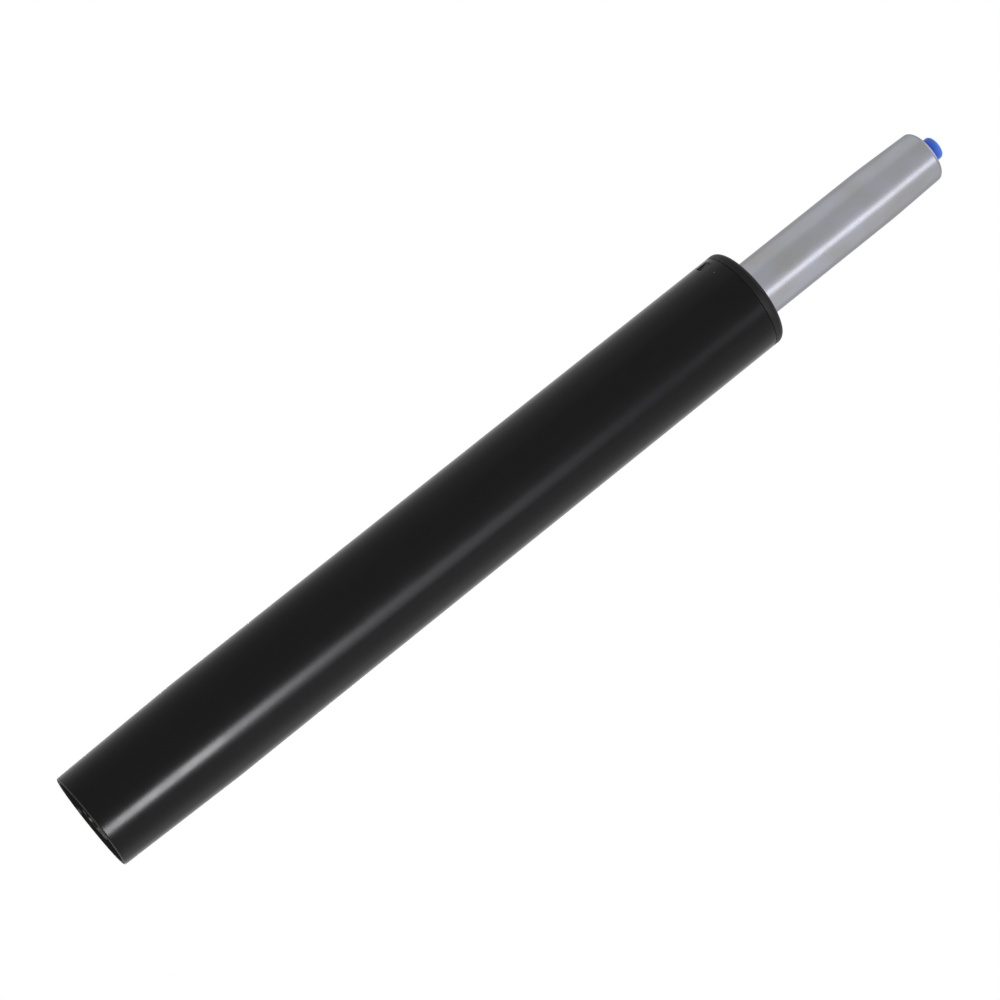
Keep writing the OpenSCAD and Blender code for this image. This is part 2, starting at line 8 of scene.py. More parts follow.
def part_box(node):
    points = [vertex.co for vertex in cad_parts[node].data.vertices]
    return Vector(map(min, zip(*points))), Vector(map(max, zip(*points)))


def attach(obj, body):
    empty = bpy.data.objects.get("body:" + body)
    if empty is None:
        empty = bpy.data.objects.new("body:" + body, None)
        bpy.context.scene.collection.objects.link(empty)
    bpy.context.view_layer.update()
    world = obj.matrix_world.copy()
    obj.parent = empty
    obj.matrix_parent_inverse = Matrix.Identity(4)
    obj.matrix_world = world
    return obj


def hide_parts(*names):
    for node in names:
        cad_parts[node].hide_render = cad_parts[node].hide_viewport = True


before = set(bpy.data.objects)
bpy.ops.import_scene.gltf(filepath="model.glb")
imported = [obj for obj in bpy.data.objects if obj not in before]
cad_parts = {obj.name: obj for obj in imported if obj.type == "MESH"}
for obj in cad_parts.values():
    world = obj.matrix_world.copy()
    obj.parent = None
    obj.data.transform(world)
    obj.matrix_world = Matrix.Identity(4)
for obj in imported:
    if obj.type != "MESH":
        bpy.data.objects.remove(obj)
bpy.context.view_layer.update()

# Stand tube: the outer column, which wedges into the hub of a chair base.
# A welded steel tube, drawn to a taper at its mouth and coated satin black. Two punched windows near
# the top take the snap tongues of the guide bush, and the coat has a small nick beside one of them.
mm = 0.001
tube_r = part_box("stand_tube")[1].x
tube_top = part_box("stand_tube")[1].z
tube_wall = 2 * mm
tube_ir = tube_r - tube_wall
base_taper_len = 63 * mm
base_taper_drop = 2.7 * mm
mouth_r = tube_r - base_taper_drop / 2
taper_blend = 300 * mm
mouth_round = 0.9 * mm
mouth_bore_round = 0.2 * mm
top_round = 0.45 * mm
window_w = 5 * mm
window_h = 5.8 * mm
window_corner = 0.8 * mm
window_edge = 0.25 * mm
window_top = tube_top - 2.8 * mm
window_mid = window_top - window_h / 2
window_turns = (0, math.pi)
nick_turn = math.radians(-157.5)
nick_drop = 5.95 * mm
nick_lean = math.radians(38)
nick_half = Vector((0.5, 0.18, 0.58)) * mm
nick_depth = 0.16 * mm
nick_core = 0.55 * mm
nick_reach = 0.8 * mm
rim_light_full = 0.15 * mm
rim_light_end = 0.6 * mm
glint_turn = math.radians(86.4)
glint_height = 0.64 * mm
glint_core = 1.0 * mm
glint_reach = 1.9 * mm


def filleted(corners, steps=6):
    """Outline through corners of (radius, height, fillet), with each fillet drawn as an arc."""
    outline = []
    for i, (radius, height, fillet) in enumerate(corners):
        here = Vector((radius, height))
        if fillet == 0:
            outline.append(here)
            continue
        back = (Vector(corners[i - 1][:2]) - here).normalized()
        ahead = (Vector(corners[(i + 1) % len(corners)][:2]) - here).normalized()
        half = back.angle(ahead) / 2
        middle = here + (back + ahead).normalized() * fillet / math.sin(half)
        first = here + back * fillet / math.tan(half) - middle
        sweep = first.angle_signed(here + ahead * fillet / math.tan(half) - middle)
        for k in range(steps + 1):
            spoke = Matrix.Rotation(-sweep * k / steps, 2) @ first
            outline.append(middle + spoke)
    return outline


def as_piece(name, shape):
    """An object for a finished bmesh, smooth apart from its sharp edges."""
    bmesh.ops.remove_doubles(shape, verts=shape.verts, dist=0.001 * mm)
    bmesh.ops.recalc_face_normals(shape, faces=shape.faces)
    mesh = bpy.data.meshes.new(name)
    shape.to_mesh(mesh)
    shape.free()
    mesh.shade_smooth()
    piece = bpy.data.objects.new(name, mesh)
    bpy.context.scene.collection.objects.link(piece)
    return piece


def turned(name, outline, steps):
    """A piece turned about the lift's axis from a closed outline of (radius, height) points."""
    shape = bmesh.new()
    corners = [shape.verts.new((point[0], 0, point[1])) for point in outline]
    sides = [shape.edges.new(pair) for pair in zip(corners, corners[1:] + corners[:1])]
    bmesh.ops.spin(
        shape, geom=corners + sides, cent=(0, 0, 0), axis=(0, 0, 1),
        angle=math.tau, steps=steps, use_merge=True)
    return as_piece(name, shape)


def cut_out(piece, cutter, way="DIFFERENCE"):
    """Cut one mesh out of another for good, or join it on."""
    step = piece.modifiers.new("cut", "BOOLEAN")
    step.object = cutter
    step.operation = way
    step.solver = "EXACT"
    graph = bpy.context.evaluated_depsgraph_get()
    result = bpy.data.meshes.new_from_object(piece.evaluated_get(graph))
    result.name = piece.name
    piece.modifiers.remove(step)
    piece.data = result
    bpy.data.objects.remove(cutter)


def crisp(piece, fold=math.radians(40)):
    """Keep flat faces flat beside their fillets, and an edge sharp that folds by more than that."""
    piece.data.set_sharp_from_angle(angle=fold)
    weigh = piece.modifiers.new("even_faces", "WEIGHTED_NORMAL")
    weigh.keep_sharp = True


def around(turn, radius, height):
    """The point at that turn round the lift's axis, that far from it and that high."""
    return Vector((radius * math.cos(turn), radius * math.sin(turn), height))


def window_loop(shape, radius, grow, turn, corner_steps=6, side_steps=18):
    """A window's round-cornered outline, grown by that much and wrapped on a radius of the tube."""
    half_w = window_w / 2 + grow
    half_h = window_h / 2 + grow
    corner = window_corner + grow
    flat = []
    for quarter, (x, y) in enumerate(((1, 1), (-1, 1), (-1, -1), (1, -1))):
        for k in range(corner_steps + 1):
            angle = math.radians(90 * (quarter + k / corner_steps))
            across = x * (half_w - corner) + corner * math.cos(angle)
            up = y * (half_h - corner) + corner * math.sin(angle)
            flat.append((across, up))
        if quarter % 2 == 0:
            step = x * (half_w - corner) * 2 / side_steps
            flat += [(across - step * k, up) for k in range(1, side_steps)]
    loop = []
    for across, up in flat:
        loop.append(shape.verts.new(around(turn + across / tube_r, radius, window_mid + up)))
    return loop


def window_cutter(turn):
    """The punch for one window: straight through the wall, with a rounded edge at the outside."""
    spare = 3 * mm
    lip = 0.2 * mm
    levels = [(tube_ir - spare / 2, 0)]
    for degrees in (0, 25, 50, 75):
        lean = math.radians(degrees)
        sink = window_edge * (1 - math.sin(lean))
        levels.append((tube_r - sink, window_edge * (1 - math.cos(lean))))
    reach = levels[-1][1] + (lip + tube_r - levels[-1][0]) * math.tan(lean)
    levels.append((tube_r + lip, reach))
    levels.append((tube_r + spare, reach))
    shape = bmesh.new()
    loops = [window_loop(shape, radius, grow, turn) for radius, grow in levels]
    for low, high in zip(loops, loops[1:]):
        for i in range(len(low)):
            j = (i + 1) % len(low)
            shape.faces.new((low[i], low[j], high[j], high[i]))
    shape.faces.new(loops[0])
    shape.faces.new(loops[-1])
    return as_piece("window_cutter", shape)


# Rows of points beside the windows keep the faces small where they are cut.
row_gap = 0.6 * mm
row_spare = 4 * mm
row_count = round((window_h + row_spare) / row_gap)
rows = [window_mid + (i - row_count / 2) * row_gap for i in range(row_count + 1)]
tube_outline = filleted(
    [(mouth_r - tube_wall, 0, mouth_bore_round), (mouth_r, 0, mouth_round)]
    + [(tube_r, base_taper_len, taper_blend)]
    + [(tube_r, row, 0) for row in rows]
    + [(tube_r, tube_top, top_round), (tube_ir, tube_top, top_round / 2)]
    + [(tube_ir, row, 0) for row in (rows[-1], rows[0])]
    + [(tube_ir, base_taper_len, taper_blend)])
stand_tube = turned("stand_tube_coated", tube_outline, steps=288)
for window_turn in window_turns:
    cut_out(stand_tube, window_cutter(window_turn))
nick_shape = bmesh.new()
nick_out = tube_r + nick_half.x - nick_depth
nick_frame = Matrix.Rotation(nick_turn, 4, "Z") @ Matrix.Translation((nick_out, 0, tube_top - nick_drop))
nick_frame = nick_frame @ Matrix.Rotation(nick_lean, 4, "X")
nick_ball = nick_frame @ Matrix.Diagonal((*nick_half, 1))
bmesh.ops.create_icosphere(nick_shape, subdivisions=4, radius=1, matrix=nick_ball)
cut_out(stand_tube, as_piece("nick", nick_shape))
crisp(stand_tube)


def finish(name, colour, roughness, metallic=0.0, ior=1.5):
    """A material of one shader that holds its even values, and the piece's own space for its patterns."""
    material = bpy.data.materials.new(name)
    material.use_nodes = True
    nodes = material.node_tree.nodes
    shader = nodes["Principled BSDF"]
    shader.inputs["Base Color"].default_value = (*colour, 1)
    shader.inputs["Metallic"].default_value = metallic
    shader.inputs["Roughness"].default_value = roughness
    shader.inputs["IOR"].default_value = ior
    nodes.new("ShaderNodeTexCoord").name = "place"
    return material


def grain(material, per_metre, detail=2.0, stretch=(1, 1, 1)):
    """Noise with that many grains to the metre, drawn out along an axis by a small stretch there."""
    nodes = material.node_tree.nodes
    links = material.node_tree.links
    mapping = nodes.new("ShaderNodeMapping")
    mapping.inputs["Scale"].default_value = stretch
    noise = nodes.new("ShaderNodeTexNoise")
    noise.inputs["Scale"].default_value = per_metre
    noise.inputs["Detail"].default_value = detail
    links.new(nodes["place"].outputs["Object"], mapping.inputs["Vector"])
    links.new(mapping.outputs["Vector"], noise.inputs["Vector"])
    return noise.outputs["Fac"]


def ranged(material, value, low, high, start=0.3, end=0.7):
    """A value spread from low to high as it goes from start to end."""
    spread = material.node_tree.nodes.new("ShaderNodeMapRange")
    spread.inputs["From Min"].default_value = start
    spread.inputs["From Max"].default_value = end
    spread.inputs["To Min"].default_value = low
    spread.inputs["To Max"].default_value = high
    material.node_tree.links.new(value, spread.inputs["Value"])
    return spread.outputs["Result"]


def tinted(material, share, first, second):
    """A colour that goes from first to second, where either may be an output of another node."""
    links = material.node_tree.links
    mix = material.node_tree.nodes.new("ShaderNodeMix")
    mix.data_type = "RGBA"
    links.new(share, mix.inputs["Factor"])
    colour_a = mix.inputs[6]
    colour_b = mix.inputs[7]
    for socket, colour in ((colour_a, first), (colour_b, second)):
        if isinstance(colour, tuple):
            socket.default_value = (*colour, 1)
        else:
            links.new(colour, socket)
    return mix.outputs[2]


def relief(material, height, depth):
    """Bump of that depth in metres, over any bump that the shader has already."""
    nodes = material.node_tree.nodes
    links = material.node_tree.links
    normal = nodes["Principled BSDF"].inputs["Normal"]
    bump = nodes.new("ShaderNodeBump")
    bump.inputs["Distance"].default_value = depth
    bump.inputs["Strength"].default_value = 1
    links.new(height, bump.inputs["Height"])
    if normal.is_linked:
        links.new(normal.links[0].from_socket, bump.inputs["Normal"])
    links.new(bump.outputs["Normal"], normal)


def feed(material, socket, value):
    """Lead a node's output into a socket of the shader."""
    material.node_tree.links.new(value, material.node_tree.nodes["Principled BSDF"].inputs[socket])


def height_of(material):
    """The height above the mouth, for what happens near one end of a piece."""
    nodes = material.node_tree.nodes
    split = nodes.new("ShaderNodeSeparateXYZ")
    material.node_tree.links.new(nodes["place"].outputs["Object"], split.inputs["Vector"])
    return split.outputs["Z"]


def from_axis(material):
    """The distance from the lift's axis, for what differs between the inside and the outside."""
    nodes = material.node_tree.nodes
    links = material.node_tree.links
    flat = nodes.new("ShaderNodeVectorMath")
    flat.operation = "MULTIPLY"
    flat.inputs[1].default_value = (1, 1, 0)
    length = nodes.new("ShaderNodeVectorMath")
    length.operation = "LENGTH"
    links.new(nodes["place"].outputs["Object"], flat.inputs[0])
    links.new(flat.outputs["Vector"], length.inputs[0])
    return length.outputs["Value"]


def apart(material, spot, upright=1.0):
    """The distance from a spot on the piece, in which heights count that many times."""
    nodes = material.node_tree.nodes
    links = material.node_tree.links
    stretched = nodes.new("ShaderNodeVectorMath")
    stretched.operation = "MULTIPLY"
    stretched.inputs[1].default_value = (1, 1, upright)
    gap = nodes.new("ShaderNodeVectorMath")
    gap.operation = "DISTANCE"
    gap.inputs[1].default_value = (spot.x, spot.y, spot.z * upright)
    links.new(nodes["place"].outputs["Object"], stretched.inputs[0])
    links.new(stretched.outputs["Vector"], gap.inputs[0])
    return gap.outputs["Value"]


def both(material, first, second, how="MULTIPLY"):
    """Two shares put together: their product, or the greater of them."""
    pair = material.node_tree.nodes.new("ShaderNodeMath")
    pair.operation = how
    material.node_tree.links.new(first, pair.inputs[0])
    material.node_tree.links.new(second, pair.inputs[1])
    return pair.outputs["Value"]


def dress(piece, material):
    """Give a piece one finish all over."""
    piece.data.materials.clear()
    piece.data.materials.append(material)


enamel = finish("black_enamel", (0.0018, 0.0018, 0.002), roughness=0.24, ior=1.22)
cloud = grain(enamel, 40, detail=3)
enamel_colour = tinted(enamel, cloud, (0.0012, 0.0012, 0.0014), (0.0024, 0.0024, 0.0027))
# Painted highlight and wear: the rim is paler up to 0.6 mm above the mouth, for the bright line along its
# rounded edge.
rim_wear_and_highlight = ranged(enamel, height_of(enamel), 0.8, 0.0, start=rim_light_full, end=rim_light_end)
enamel_colour = tinted(enamel, rim_wear_and_highlight, enamel_colour, (0.12, 0.118, 0.112))
bare_bore = ranged(enamel, from_axis(enamel), 1.0, 0.0, start=tube_ir + 0.2 * mm, end=tube_ir + 0.5 * mm)
enamel_colour = tinted(enamel, bare_bore, enamel_colour, (0.03, 0.03, 0.029))
# Painted light: the window walls and the bore near the top are paler, to lift the shade that falls in them.
in_wall = ranged(enamel, from_axis(enamel), 1.0, 0.0, start=tube_r - 0.6 * mm, end=tube_r - 0.3 * mm)
up_there = ranged(
    enamel, height_of(enamel), 0.0, 1.0, start=window_top - 2 * window_h, end=window_top - 1.5 * window_h)
enamel_colour = tinted(enamel, both(enamel, in_wall, up_there), enamel_colour, (0.13, 0.13, 0.128))
# Painted glint: a pale spot on the bore just inside the mouth.
glint_spot = around(glint_turn, mouth_r - tube_wall, glint_height)
from_glint = apart(enamel, glint_spot, upright=5)
bore_glint = ranged(enamel, from_glint, 1.0, 0.0, start=glint_core, end=glint_reach)
enamel_colour = tinted(enamel, bore_glint, enamel_colour, (0.2, 0.2, 0.195))
from_nick = apart(enamel, nick_frame @ Vector((-nick_half.x, 0, 0)))
bare_nick = ranged(enamel, from_nick, 1.0, 0.0, start=nick_core, end=nick_reach)
below_skin = ranged(enamel, from_axis(enamel), 1.0, 0.0, start=tube_r - 0.05 * mm, end=tube_r - 0.01 * mm)
enamel_colour = tinted(enamel, both(enamel, bare_nick, below_skin), enamel_colour, (0.4, 0.4, 0.39))
feed(enamel, "Base Color", enamel_colour)
sheen = ranged(enamel, grain(enamel, 120, detail=4), 0.215, 0.255)
sawn = ranged(enamel, height_of(enamel), 0.9, 0.0, start=0.01 * mm, end=0.05 * mm)
feed(enamel, "Roughness", both(enamel, sheen, sawn, "MAXIMUM"))
relief(enamel, grain(enamel, 900, detail=3), 0.006 * mm)
dress(stand_tube, enamel)
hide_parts("stand_tube")
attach(stand_tube, "stand")

# Base plate: closes the foot of the stand tube and carries the whole weight.
# A turned steel disc, pressed up into the taper of the tube, with a thin dull coat from below.
plate_coat = finish("plate_coat", (0.03, 0.03, 0.029), roughness=0.5, ior=1.08)


def mottled(material, per_metre, dark, light, detail=2.0):
    """Let the colour drift between two colours, with that many patches to the metre."""
    feed(material, "Base Color", tinted(material, grain(material, per_metre, detail), dark, light))


def lathe_lines(material, per_metre, across_axis):
    """Fine rings left by the tool: on a face across the axis, or down a surface along it."""
    nodes = material.node_tree.nodes
    wave = nodes.new("ShaderNodeTexWave")
    wave.wave_type = "RINGS" if across_axis else "BANDS"
    wave.rings_direction = "Z"
    wave.bands_direction = "Z"
    wave.inputs["Scale"].default_value = per_metre
    wave.inputs["Distortion"].default_value = 1.5
    wave.inputs["Detail Scale"].default_value = 2
    material.node_tree.links.new(nodes["place"].outputs["Object"], wave.inputs["Vector"])
    return wave.outputs["Fac"]


mottled(plate_coat, 150, (0.02, 0.02, 0.019), (0.04, 0.04, 0.039), detail=4)
relief(plate_coat, lathe_lines(plate_coat, 900, across_axis=True), 0.004 * mm)
dress(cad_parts["base_plate"], plate_coat)

# Thrust bearing: lets the seat turn under load.
# Two ground and hardened rings with a ball track in each, and balls spaced by a pressed brass cage.
hard_steel = finish("bearing_steel", (0.6, 0.6, 0.62), metallic=1.0, roughness=0.22)


def uneven_gloss(material, per_metre, low, high, detail=2.0):
    """Let the roughness drift between two values, with that many patches to the metre."""
    feed(material, "Roughness", ranged(material, grain(material, per_metre, detail), low, high))


uneven_gloss(hard_steel, 700, 0.16, 0.28, detail=3)
relief(hard_steel, lathe_lines(hard_steel, 2500, across_axis=True), 0.001 * mm)
brass_cage = finish("cage_brass", (0.72, 0.55, 0.25), metallic=1.0, roughness=0.35)
mottled(brass_cage, 400, (0.66, 0.49, 0.21), (0.76, 0.6, 0.3))
uneven_gloss(brass_cage, 900, 0.28, 0.42, detail=3)
for node in ("lower_race", "bearing_balls", "upper_race"):
    dress(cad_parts[node], hard_steel)
dress(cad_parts["ball_cage"], brass_cage)

# Piston rod: stands on the bearing and runs up through the lift.
# Drawn steel bar, ground and hard chromed, with a grooved journal below and a riveted stub above.
rod_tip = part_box("piston_rod")[0].z
journal_r = 4 * mm
plating_start = rod_tip + 1.2 * mm
plating_full = rod_tip + 2 * mm
tip_glint_turn = math.radians(-124)
tip_glint_height = rod_tip + 0.3 * mm
tip_glint_core = 0.5 * mm
tip_glint_reach = 1.6 * mm
chrome = finish("chromed_rod", (0.75, 0.75, 0.77), metallic=1.0, roughness=0.16, ior=1.02)
plated = ranged(chrome, height_of(chrome), 0.0, 1.0, start=plating_start, end=plating_full)
# Painted glint: a pale spot on the dark tip of the rod, by its near edge.
tip_glint_spot = around(tip_glint_turn, journal_r, tip_glint_height)
from_tip_glint = apart(chrome, tip_glint_spot, upright=4)
tip_glint = ranged(chrome, from_tip_glint, 1.0, 0.0, start=tip_glint_core, end=tip_glint_reach)
tip_colour = tinted(chrome, tip_glint, (0.03, 0.03, 0.028), (0.36, 0.36, 0.34))
feed(chrome, "Base Color", tinted(chrome, plated, tip_colour, (0.75, 0.75, 0.77)))
feed(chrome, "Metallic", plated)
polish = ranged(chrome, grain(chrome, 300, detail=4), 0.12, 0.24)
end_face = ranged(chrome, height_of(chrome), 0.9, 0.0, start=rod_tip + 0.02 * mm, end=rod_tip + 0.1 * mm)
feed(chrome, "Roughness", both(chrome, polish, end_face, "MAXIMUM"))
relief(chrome, lathe_lines(chrome, 3000, across_axis=False), 0.0005 * mm)
dress(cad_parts["piston_rod"], chrome)

# Retaining clip and its washer: keep the rod in the base plate.
# A horseshoe stamped from spring steel, phosphated and oiled, pushed into the groove of the rod, and a
# zinc plated washer in a dull dark grey. The clip is darker near the rod.
dark_until_r = 6.5 * mm
full_colour_r = 9 * mm
zinc = finish("zinc_steel", (0.06, 0.058, 0.052), roughness=0.5, ior=1.03)
mottled(zinc, 220, (0.03, 0.029, 0.026), (0.08, 0.078, 0.07), detail=5)
relief(zinc, lathe_lines(zinc, 900, across_axis=True), 0.004 * mm)
dress(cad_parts["clip_washer"], zinc)
spring = finish("spring_steel", (0.1, 0.098, 0.09), roughness=0.5, ior=1.03)
spring_colour = tinted(spring, grain(spring, 350, detail=4), (0.03, 0.0295, 0.028), (0.06, 0.059, 0.055))
# The clip's colour goes dark near the rod, between the inner and the outer radius.
away_from_rod = ranged(spring, from_axis(spring), 0.0, 1.0, start=dark_until_r, end=full_colour_r)
feed(spring, "Base Color", tinted(spring, away_from_rod, (0.02, 0.02, 0.018), spring_colour))
uneven_gloss(spring, 900, 0.26, 0.46, detail=4)
relief(spring, grain(spring, 2500), 0.004 * mm)
dress(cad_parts["retaining_clip"], spring)

# Bumper, rod seal and O-rings: the soft stops and seals.
# Moulded nitrile rubber, dull black with a faint bloom.
rubber = finish("black_rubber", (0.02, 0.02, 0.02), roughness=0.7, ior=1.4)
mottled(rubber, 260, (0.014, 0.014, 0.014), (0.032, 0.032, 0.031), detail=4)
uneven_gloss(rubber, 700, 0.6, 0.8)
relief(rubber, grain(rubber, 3500), 0.01 * mm)
for node in ("bumper", "rod_seal", "piston_seal", "valve_outer_seal", "inner_tube_seal", "valve_pin_seals"):
    dress(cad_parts[node], rubber)

# Washers, inner tube and valve pin: the plain steel pieces sealed in the lift.
# Turned or drawn mild steel, oiled and left bare, each held by the pieces stacked on it.
plain_steel = finish("plain_steel", (0.55, 0.55, 0.56), metallic=1.0, roughness=0.32)
uneven_gloss(plain_steel, 400, 0.24, 0.42, detail=4)
relief(plain_steel, lathe_lines(plain_steel, 1800, across_axis=True), 0.002 * mm)
for node in ("piston_washer", "piston_retainer", "inner_tube", "end_washer", "seal_washer", "valve_pin"):
    dress(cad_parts[node], plain_steel)

# Piston and rod guide: what slides in the inner tube, and what the rod slides in.
# Turned from white acetal bar, with a faint tool mark.
white_acetal = finish("white_acetal", (0.75, 0.74, 0.7), roughness=0.45)
mottled(white_acetal, 200, (0.7, 0.69, 0.65), (0.78, 0.77, 0.73))
relief(white_acetal, lathe_lines(white_acetal, 1500, across_axis=True), 0.003 * mm)
for node in ("piston", "rod_guide"):
    dress(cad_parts[node], white_acetal)

# Pressure tube: the moving column, whose tapered head wedges into the seat mechanism.
# A drawn steel tube with a rolled lip over the valve and a crimped lip at the foot, sprayed satin silver.
lift_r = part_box("pressure_tube")[1].x
lift_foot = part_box("pressure_tube")[0].z
lift_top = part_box("pressure_tube")[1].z
lift_wall = 1.5 * mm
seat_taper_len = 31 * mm
seat_taper_drop = 1.9 * mm
lip_round = 2.3 * mm
lip_edge = 0.3 * mm
top_lip_r = 8.5 * mm
foot_lip_r = 8 * mm
head_r = lift_r - seat_taper_drop / 2
seat_z = lift_top - seat_taper_len
lift_outline = filleted([
    (foot_lip_r, lift_foot, lip_edge),
    (lift_r, lift_foot, lip_round),
    (lift_r, seat_z, taper_blend),
    (head_r, lift_top, lip_round),
    (top_lip_r, lift_top, lip_edge),
    (top_lip_r, lift_top - lift_wall, lip_edge),
    (head_r - lift_wall, lift_top - lift_wall, lip_round - lift_wall),
    (lift_r - lift_wall, seat_z, taper_blend),
    (lift_r - lift_wall, lift_foot + lift_wall, lip_round - lift_wall),
    (foot_lip_r, lift_foot + lift_wall, lip_edge)], steps=8)
pressure_tube = turned("pressure_tube_sprayed", lift_outline, steps=224)
crisp(pressure_tube)
silver = finish("silver_enamel", (0.3, 0.3, 0.315), metallic=1.0, roughness=0.28)
silver.node_tree.nodes["Principled BSDF"].inputs["Specular Tint"].default_value = (0.7, 0.7, 0.71, 1)
drift = ranged(silver, grain(silver, 70, detail=1.5, stretch=(1, 1, 0.6)), 0.0, 1.0, start=0.38, end=0.62)
silver_colour = tinted(silver, drift, (0.272, 0.272, 0.276), (0.296, 0.302, 0.336))
flake = ranged(silver, grain(silver, 5200, detail=1), 0.0, 0.1)
feed(silver, "Base Color", tinted(silver, flake, silver_colour, (0.39, 0.39, 0.41)))
uneven_gloss(silver, 260, 0.27, 0.31)
relief(silver, grain(silver, 250, detail=1), 0.002 * mm)
dress(pressure_tube, silver)
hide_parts("pressure_tube")
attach(pressure_tube, "lift_column")

# Valve body: the plug in the head of the pressure tube, which the gas flows through.
# Turned brass, held under the rolled lip, with the button's well in its top face.
valve_brass = finish("valve_brass", (0.7, 0.53, 0.24), metallic=1.0, roughness=0.3)
mottled(valve_brass, 500, (0.6, 0.45, 0.2), (0.74, 0.58, 0.28), detail=4)
uneven_gloss(valve_brass, 900, 0.22, 0.38, detail=3)
relief(valve_brass, lathe_lines(valve_brass, 1400, across_axis=True), 0.004 * mm)
dress(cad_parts["valve_body"], valve_brass)

# Release button: the cap that the seat's lever presses to free the lift.
# Moulded blue acetal, pushed on to the valve pin, with a rounded rim and a faintly crowned top.
button_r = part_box("release_button")[1].x
button_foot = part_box("release_button")[0].z
button_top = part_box("release_button")[1].z
button_round = 1.5 * mm
button_crown = 0.15 * mm
button_edge = 0.25 * mm
socket_r = 2.55 * mm
socket_depth = 6 * mm
top_light_start = button_top - 4.6 * mm
top_light_full = button_top - 1.2 * mm
button_outline = filleted([
    (0, button_top, 0),
    (0, button_foot + socket_depth, 0),
    (socket_r, button_foot + socket_depth, button_edge),
    (socket_r, button_foot, button_edge),
    (button_r, button_foot, button_edge),
    (button_r, button_top - button_crown, button_round)], steps=10)
button = turned("release_button_moulded", button_outline, steps=128)
crisp(button)
blue = finish("blue_button", (0.015, 0.066, 0.47), roughness=0.38, ior=1.31)
blue_colour = tinted(blue, grain(blue, 350), (0.013, 0.073, 0.65), (0.018, 0.087, 0.73))
# Painted highlight: the blue grows paler towards the rounded top edge of the button.
painted_top_highlight = ranged(blue, height_of(blue), 0.0, 1.0, start=top_light_start, end=top_light_full)
feed(blue, "Base Color", tinted(blue, painted_top_highlight, blue_colour, (0.085, 0.24, 0.86)))
uneven_gloss(blue, 1200, 0.32, 0.44)
relief(blue, grain(blue, 3000), 0.006 * mm)
dress(button, blue)
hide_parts("release_button")
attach(button, "release")

# Guide bush: the collar and sleeve that the pressure tube slides in.
# Moulded black acetal with a fine spark-eroded grain, pushed into the stand tube until its two barbs snap
# into the windows. Each barb leans out from its foot, so that its top is almost flush with the tube.
barb_gap = 0.3 * mm
barb_seat_gap = 0.04 * mm
barb_angle = 2 * math.asin((window_w / 2 - barb_gap) / tube_r)
barb_foot = window_top - window_h + barb_gap
barb_catch = window_top - barb_seat_gap
barb_root_r = tube_ir - 0.5 * mm
barb_foot_r = tube_r - 1.05 * mm
barb_catch_r = tube_r - 0.15 * mm
barb_round = 0.2 * mm


def barb_face(turn):
    """The leaning face of one barb, a sector that is turned about the lift's axis."""
    section = filleted([
        (barb_root_r, barb_foot, 0),
        (barb_foot_r, barb_foot, barb_round),
        (barb_catch_r, barb_catch, barb_round),
        (barb_root_r, barb_catch, 0)], steps=4)
    shape = bmesh.new()
    corners = [shape.verts.new(around(turn - barb_angle / 2, *point)) for point in section]
    cap = shape.faces.new(corners)
    bmesh.ops.spin(
        shape, geom=corners + cap.edges[:] + [cap], cent=(0, 0, 0), axis=(0, 0, 1),
        angle=barb_angle, steps=16)
    return as_piece("barb_face", shape)


bush_shape = bmesh.new()
bush_shape.from_mesh(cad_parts["guide_bush"].data)
bush = as_piece("guide_bush_moulded", bush_shape)
for window_turn in window_turns:
    cut_out(bush, barb_face(window_turn), "UNION")
crisp(bush)
bush_acetal = finish("black_acetal", (0.005, 0.005, 0.005), roughness=0.46, ior=1.25)
mottled(bush_acetal, 150, (0.0015, 0.0015, 0.0015), (0.005, 0.005, 0.0047), detail=3)
uneven_gloss(bush_acetal, 500, 0.42, 0.54)
relief(bush_acetal, grain(bush_acetal, 2600), 0.02 * mm)
dress(bush, bush_acetal)
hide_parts("guide_bush")
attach(bush, "stand")

# Floor: a pale sheet that keeps the lift's shadow and runs out to white.
# It is open under the mouth, so that light reaches the clip, and clear from beneath, where the camera is.
floor_r = 4.0
floor_hole_r = 22.3 * mm
floor_pale_r = 0.5
floor_white_r = 2.2
floor_glow = 0.56
floor_grey = 0.46
floor_sides = 128
floor_shape = bmesh.new()
rims = []
for radius in (floor_hole_r, floor_r):
    turns = [math.tau * i / floor_sides for i in range(floor_sides)]
    rims.append([floor_shape.verts.new(around(turn, radius, 0)) for turn in turns])
for i in range(floor_sides):
    j = (i + 1) % floor_sides
    floor_shape.faces.new((rims[0][i], rims[1][i], rims[1][j], rims[0][j]))
floor_mesh = bpy.data.meshes.new("floor")
floor_shape.to_mesh(floor_mesh)
floor_shape.free()
floor = bpy.data.objects.new("floor", floor_mesh)
bpy.context.scene.collection.objects.link(floor)


def seen_rays(tree):
    """One for rays that look at the surround: from the camera, off gloss or through glass."""
    path = tree.nodes.new("ShaderNodeLightPath")
    total = path.outputs["Is Camera Ray"]
    for name in ("Is Glossy Ray", "Is Transmission Ray"):
        plus = tree.nodes.new("ShaderNodeMath")
        plus.operation = "ADD"
        plus.use_clamp = True
        tree.links.new(total, plus.inputs[0])
        tree.links.new(path.outputs[name], plus.inputs[1])
        total = plus.outputs["Value"]
    return total


